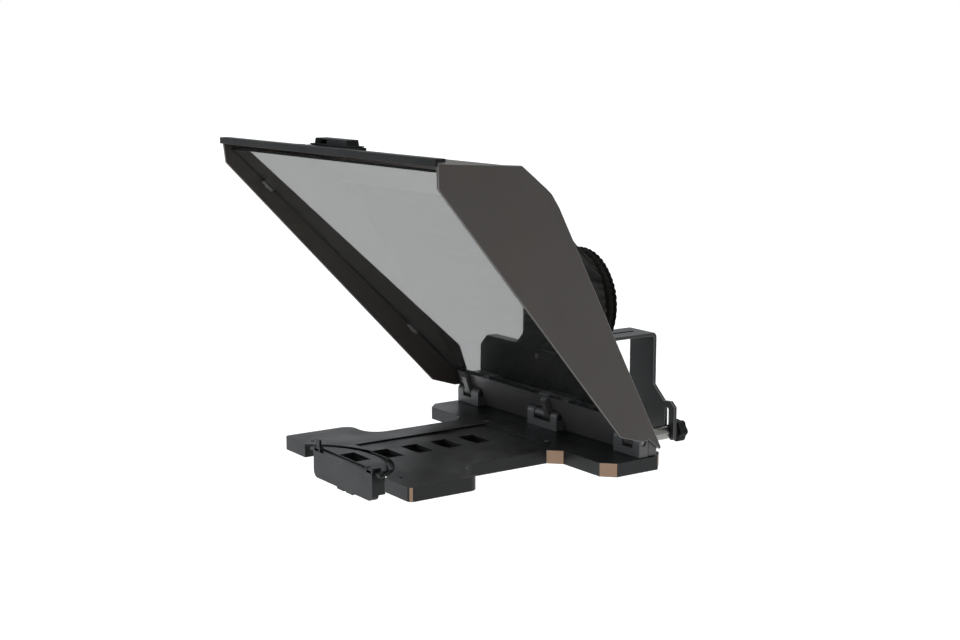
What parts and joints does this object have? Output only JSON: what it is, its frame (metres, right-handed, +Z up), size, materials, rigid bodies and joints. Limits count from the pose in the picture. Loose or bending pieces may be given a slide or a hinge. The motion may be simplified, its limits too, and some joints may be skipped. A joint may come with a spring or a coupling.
{
  "type": "teleprompter",
  "caption": "Fold-down teleprompter with a half-mirror glass in a flared hood, cloth lens shroud, hollow base with a sliding tablet jaw, and a camera riser on support rods.",
  "frame": {"origin": "centre of the tripod plate's underside", "axes": "+Z up, +Y from the reader towards the camera, +X to the camera's left hand seen from behind it; X = 0 is the plane of symmetry"},
  "size_m": [0.4046, 0.4169, 0.3383],
  "materials": {
    "base_plastic": "near-black moulded plastic with a low sheen",
    "hood_panel": "dark satin coating over sheet, thin bright edges",
    "beamsplitter_glass": "half-mirrored flat glass",
    "hood_fabric": "matt black gathered cloth",
    "bracket_metal": "dark satin coated plate",
    "bright_steel": "turned bright steel",
    "knob_plastic": "black moulded grip"
  },
  "bodies": {
    "base": {"base_shell": "base_plastic", "window_strip": "base_plastic", "deck_screw_left": "bright_steel", "deck_screw_right": "bright_steel", "hinge_bracket_left": "base_plastic", "hinge_bracket_centre": "base_plastic", "hinge_bracket_right": "base_plastic", "hinge_pin_left": "bright_steel", "hinge_pin_centre": "bright_steel", "hinge_pin_right": "bright_steel", "rod_block": "bracket_metal", "tripod_plate": "bracket_metal", "plate_bolt_left": "bright_steel", "plate_bolt_right": "bright_steel"},
    "hood": {"glass": "beamsplitter_glass", "side_panel_left": "hood_panel", "side_panel_right": "hood_panel", "glass_clip_left_lower": "bright_steel", "glass_clip_left_upper": "bright_steel", "glass_clip_right_lower": "bright_steel", "glass_clip_right_upper": "bright_steel", "top_cover": "hood_panel", "lower_frame": "base_plastic", "hinge_arm_left": "base_plastic", "hinge_arm_centre": "base_plastic", "hinge_arm_right": "base_plastic", "front_rim": "hood_panel", "glass_latch_base": "base_plastic", "fabric_shroud": "hood_fabric", "lens_sock": "hood_fabric", "sock_hem": "hood_fabric"},
    "latch": {"glass_latch_slider": "base_plastic"},
    "jaw": {"jaw_neck": "base_plastic", "jaw_head": "base_plastic", "jaw_lip": "base_plastic", "stop_pin_left": "bright_steel", "stop_pin_right": "bright_steel"},
    "release": {"jaw_release": "base_plastic"},
    "stop_left": {"tablet_stop_left": "base_plastic"},
    "stop_right": {"tablet_stop_right": "base_plastic"},
    "rods": {"rod_left": "bright_steel", "rod_right": "bright_steel"},
    "rod_lock_left": {"rod_lock_knob_left": "knob_plastic"},
    "rod_lock_right": {"rod_lock_knob_right": "knob_plastic"},
    "riser": {"riser_bracket": "bracket_metal"},
    "riser_clamp_left": {"riser_knob_left": "knob_plastic", "riser_washer_left": "bright_steel"},
    "riser_clamp_right": {"riser_knob_right": "knob_plastic", "riser_washer_right": "bright_steel"},
    "camera_carriage": {"camera_washer": "bright_steel"},
    "camera_clamp": {"camera_screw": "knob_plastic"}
  },
  "joints": [
    {"name": "hood_fold", "type": "hinge", "parent": "base", "child": "hood", "pos_m": [0, -0.023, 0.0433], "axis": [1, 0, 0], "range_deg": [0, 45]},
    {"name": "glass_latch", "type": "slide", "parent": "hood", "child": "latch", "axis": [1, 0, 0], "range_m": [0, 0.009]},
    {"name": "jaw_slide", "type": "slide", "parent": "base", "child": "jaw", "axis": [0, -1, 0], "range_m": [0, 0.06]},
    {"name": "jaw_release_press", "type": "slide", "parent": "jaw", "child": "release", "axis": [0, 0, 1], "range_m": [0, 0.003], "stiffness_N_per_m": 400, "springref_m": -0.001},
    {"name": "tablet_stop_left_flip", "type": "hinge", "parent": "jaw", "child": "stop_left", "pos_m": [-0.0502, -0.2649, 0.0309], "axis": [1, 0, 0], "range_deg": [-90, 0]},
    {"name": "tablet_stop_right_flip", "type": "hinge", "parent": "jaw", "child": "stop_right", "pos_m": [0.0502, -0.2649, 0.0309], "axis": [1, 0, 0], "range_deg": [0, 90]},
    {"name": "rod_extend", "type": "slide", "parent": "base", "child": "rods", "axis": [0, 1, 0], "range_m": [0, 0.05]},
    {"name": "rod_lock_left_turn", "type": "hinge", "parent": "base", "child": "rod_lock_left", "pos_m": [-0.0576, -0.011, 0.014], "axis": [1, 0, 0], "continuous": true},
    {"name": "rod_lock_right_turn", "type": "hinge", "parent": "base", "child": "rod_lock_right", "pos_m": [0.0576, -0.011, 0.014], "axis": [1, 0, 0], "continuous": true},
    {"name": "riser_height", "type": "slide", "parent": "rods", "child": "riser", "axis": [0, 0, 1], "range_m": [-0.0245, 0]},
    {"name": "riser_knob_left_turn", "type": "hinge", "parent": "rods", "child": "riser_clamp_left", "pos_m": [-0.0424, 0.1119, 0.014], "axis": [0, 1, 0], "continuous": true},
    {"name": "riser_knob_right_turn", "type": "hinge", "parent": "rods", "child": "riser_clamp_right", "pos_m": [0.0424, 0.1119, 0.014], "axis": [0, 1, 0], "continuous": true},
    {"name": "camera_shift", "type": "slide", "parent": "riser", "child": "camera_carriage", "axis": [0, 1, 0], "range_m": [0, 0.033]},
    {"name": "camera_screw_turn", "type": "hinge", "parent": "camera_carriage", "child": "camera_clamp", "pos_m": [0, 0.055, 0.1131], "axis": [0, 0, 1], "continuous": true}
  ]
}
